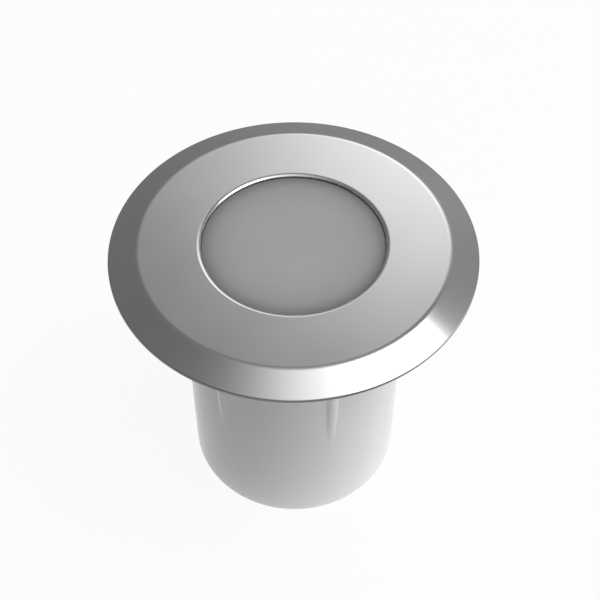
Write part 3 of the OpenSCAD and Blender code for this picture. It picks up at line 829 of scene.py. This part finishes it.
choke = {"rim": 1.0 * mm, "waist": 0.6 * mm, "wires": 9, "wireProud": 0.16 * mm,
         "wireSteps": 8, "edge": 0.15 * mm, "count": 96}
can = {"edge": 0.15 * mm, "shoulder": 0.45 * mm, "lip": 0.8 * mm, "sunk": 0.14 * mm,
       "beadAt": 1.6 * mm, "beadHalf": 0.45 * mm, "beadDeep": 0.35 * mm, "count": 96,
       "topHalf": 0.05 * mm}    # the metal of the top reaches this far above and below it


def standing(node):
    # middle, radius, foot and top of an upright round piece
    low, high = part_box(node)
    return ((low.x + high.x) / 2, (low.y + high.y) / 2), (high.x - low.x) / 2, low.z, high.z


def chokeProfile(s, radius, low, high):
    # two rims, and between them r = waist + proud * |sin(pi t)|, t counting the turns of wire
    e, waist = s["edge"], radius - s["waist"]
    t = np.linspace(0, s["wires"], s["wires"] * s["wireSteps"] + 1)
    z = low + s["rim"] + (high - low - 2 * s["rim"]) * t / s["wires"]
    wires = np.stack([waist + s["wireProud"] * np.abs(np.sin(math.pi * t)), z], -1)
    foot = filleted([(0, low, 0), (radius, low, e), (radius, z[0], e), (waist, z[0], 0)])
    head = filleted([(waist, z[-1], 0), (radius, z[-1], e), (radius, high, e), (0, high, 0)])
    return np.concatenate([foot[1:-1], wires, head[1:-1]])


def canProfile(s, radius, low, high):
    # jacket with a rolled bead near its foot, shrunk over the shoulder, and a sunk metal top
    e, bead = s["edge"], low + s["beadAt"]
    return filleted([
        (0, low, 0), (radius, low, e), (radius, bead - s["beadHalf"], e),
        (radius - s["beadDeep"], bead, e), (radius, bead + s["beadHalf"], e),
        (radius, high, s["shoulder"]), (radius - s["lip"], high, e / 2),
        (radius - s["lip"], high - s["sunk"], e / 2), (0, high - s["sunk"], 0)])[1:-1]


chokeAt, chokeRadius, chokeLow, chokeHigh = standing("driver_choke")
ferrite = finish("ferriteDrum", (0.035, 0.035, 0.038), 0.5, spread=0.2, grain=3000)
chokeDrum = lathe("chokeDrum", chokeProfile(choke, chokeRadius, chokeLow, chokeHigh),
                  choke["count"], chokeAt)
dress(chokeDrum, "lamp", ["driver_choke"],
      twoTone(ferrite, (0.62, 0.26, 0.09), 0.85, (chokeLow + chokeHigh) / 2,
              (chokeHigh - chokeLow) / 2 - choke["rim"]))
canAt, canRadius, canLow, canHigh = standing("driver_capacitor")
jacket = finish("canJacket", (0.02, 0.025, 0.05), 0.3, spread=0.15)
smoothingCan = lathe("smoothingCan", canProfile(can, canRadius, canLow, canHigh), can["count"],
                     canAt)
dress(smoothingCan, "lamp", ["driver_capacitor"],
      twoTone(jacket, (0.70, 0.70, 0.71), 1.0, canHigh - can["sunk"], can["topHalf"]))
print("driver parts made")


# finishes of the pieces that keep their CAD shape

# height of an LED's yellow window, and how far its colour reaches past it
led = {"lens": 0.2 * mm, "border": 0.02 * mm}
ledTop = levels("led_emitters")[1]
metal = {"metallic": 1.0}
turnedAluminium = finish("turnedAluminium", (0.62, 0.63, 0.64), 0.34, grain=900,
                         stretch=(1, 1, 8), **metal)
dress(threadRidge("neckThread", thread["neckRadius"], 1, 0.0, thread), "lamp", [],
      turnedAluminium)
plainFinishes = {
    "foam_gasket": finish("closedFoam", (0.045, 0.045, 0.045), 0.9, spread=0.25, patch=900,
                          grain=4200, bump=0.6, depth=0.15 * mm),
    "spring_steel": finish("springWire", (0.55, 0.55, 0.56), 0.25, **metal),
    "seal_rubber": blackRubber,
    "lamp_aluminium": turnedAluminium,
    "opal_plastic": finish("opalSheet", (0.88, 0.88, 0.86), 0.35),
    "reflector_plastic": finish("whiteGloss", (0.90, 0.90, 0.90), 0.2),
    "white_board": traces(finish("whiteMask", (0.85, 0.85, 0.83), 0.45), (0.72, 0.72, 0.70), 260),
    "led_phosphor": twoTone(finish("ledPackage", (0.88, 0.88, 0.85), 0.4), (0.88, 0.66, 0.12),
                            0.0, ledTop - led["lens"] / 2, led["lens"] / 2 + led["border"]),
    "screw_steel": finish("screwSteel", (0.60, 0.60, 0.60), 0.3, **metal),
    "pad_silicone": finish("softPad", (0.62, 0.40, 0.42), 0.7, grain=1500, bump=0.1),
    "plate_aluminium": finish("plateAluminium", (0.66, 0.66, 0.67), 0.35, **metal),
    "lead_red": finish("redSleeving", (0.60, 0.04, 0.03), 0.4),
    "lead_black": finish("blackSleeving", (0.03, 0.03, 0.03), 0.4),
    "green_board": traces(finish("greenMask", (0.02, 0.15, 0.05), 0.35, spread=0.12),
                          (0.06, 0.30, 0.11), 330),
    "standoff_brass": finish("turnedBrass", (0.72, 0.54, 0.22), 0.3, **metal),
    "chip_epoxy": finish("chipEpoxy", (0.03, 0.03, 0.03), 0.6),
    "terminal_plastic": finish("terminalPlastic", (0.04, 0.18, 0.10), 0.4),
    "gland_nylon": finish("glandNylon", (0.04, 0.04, 0.042), 0.5, spread=0.1, grain=900, bump=0.1),
}
for row in frame["record"]["subparts"]:
    if row["material_slot"] in plainFinishes:
        wear(frame["nodes"][row["node"]], plainFinishes[row["material_slot"]])
print("finishes given")
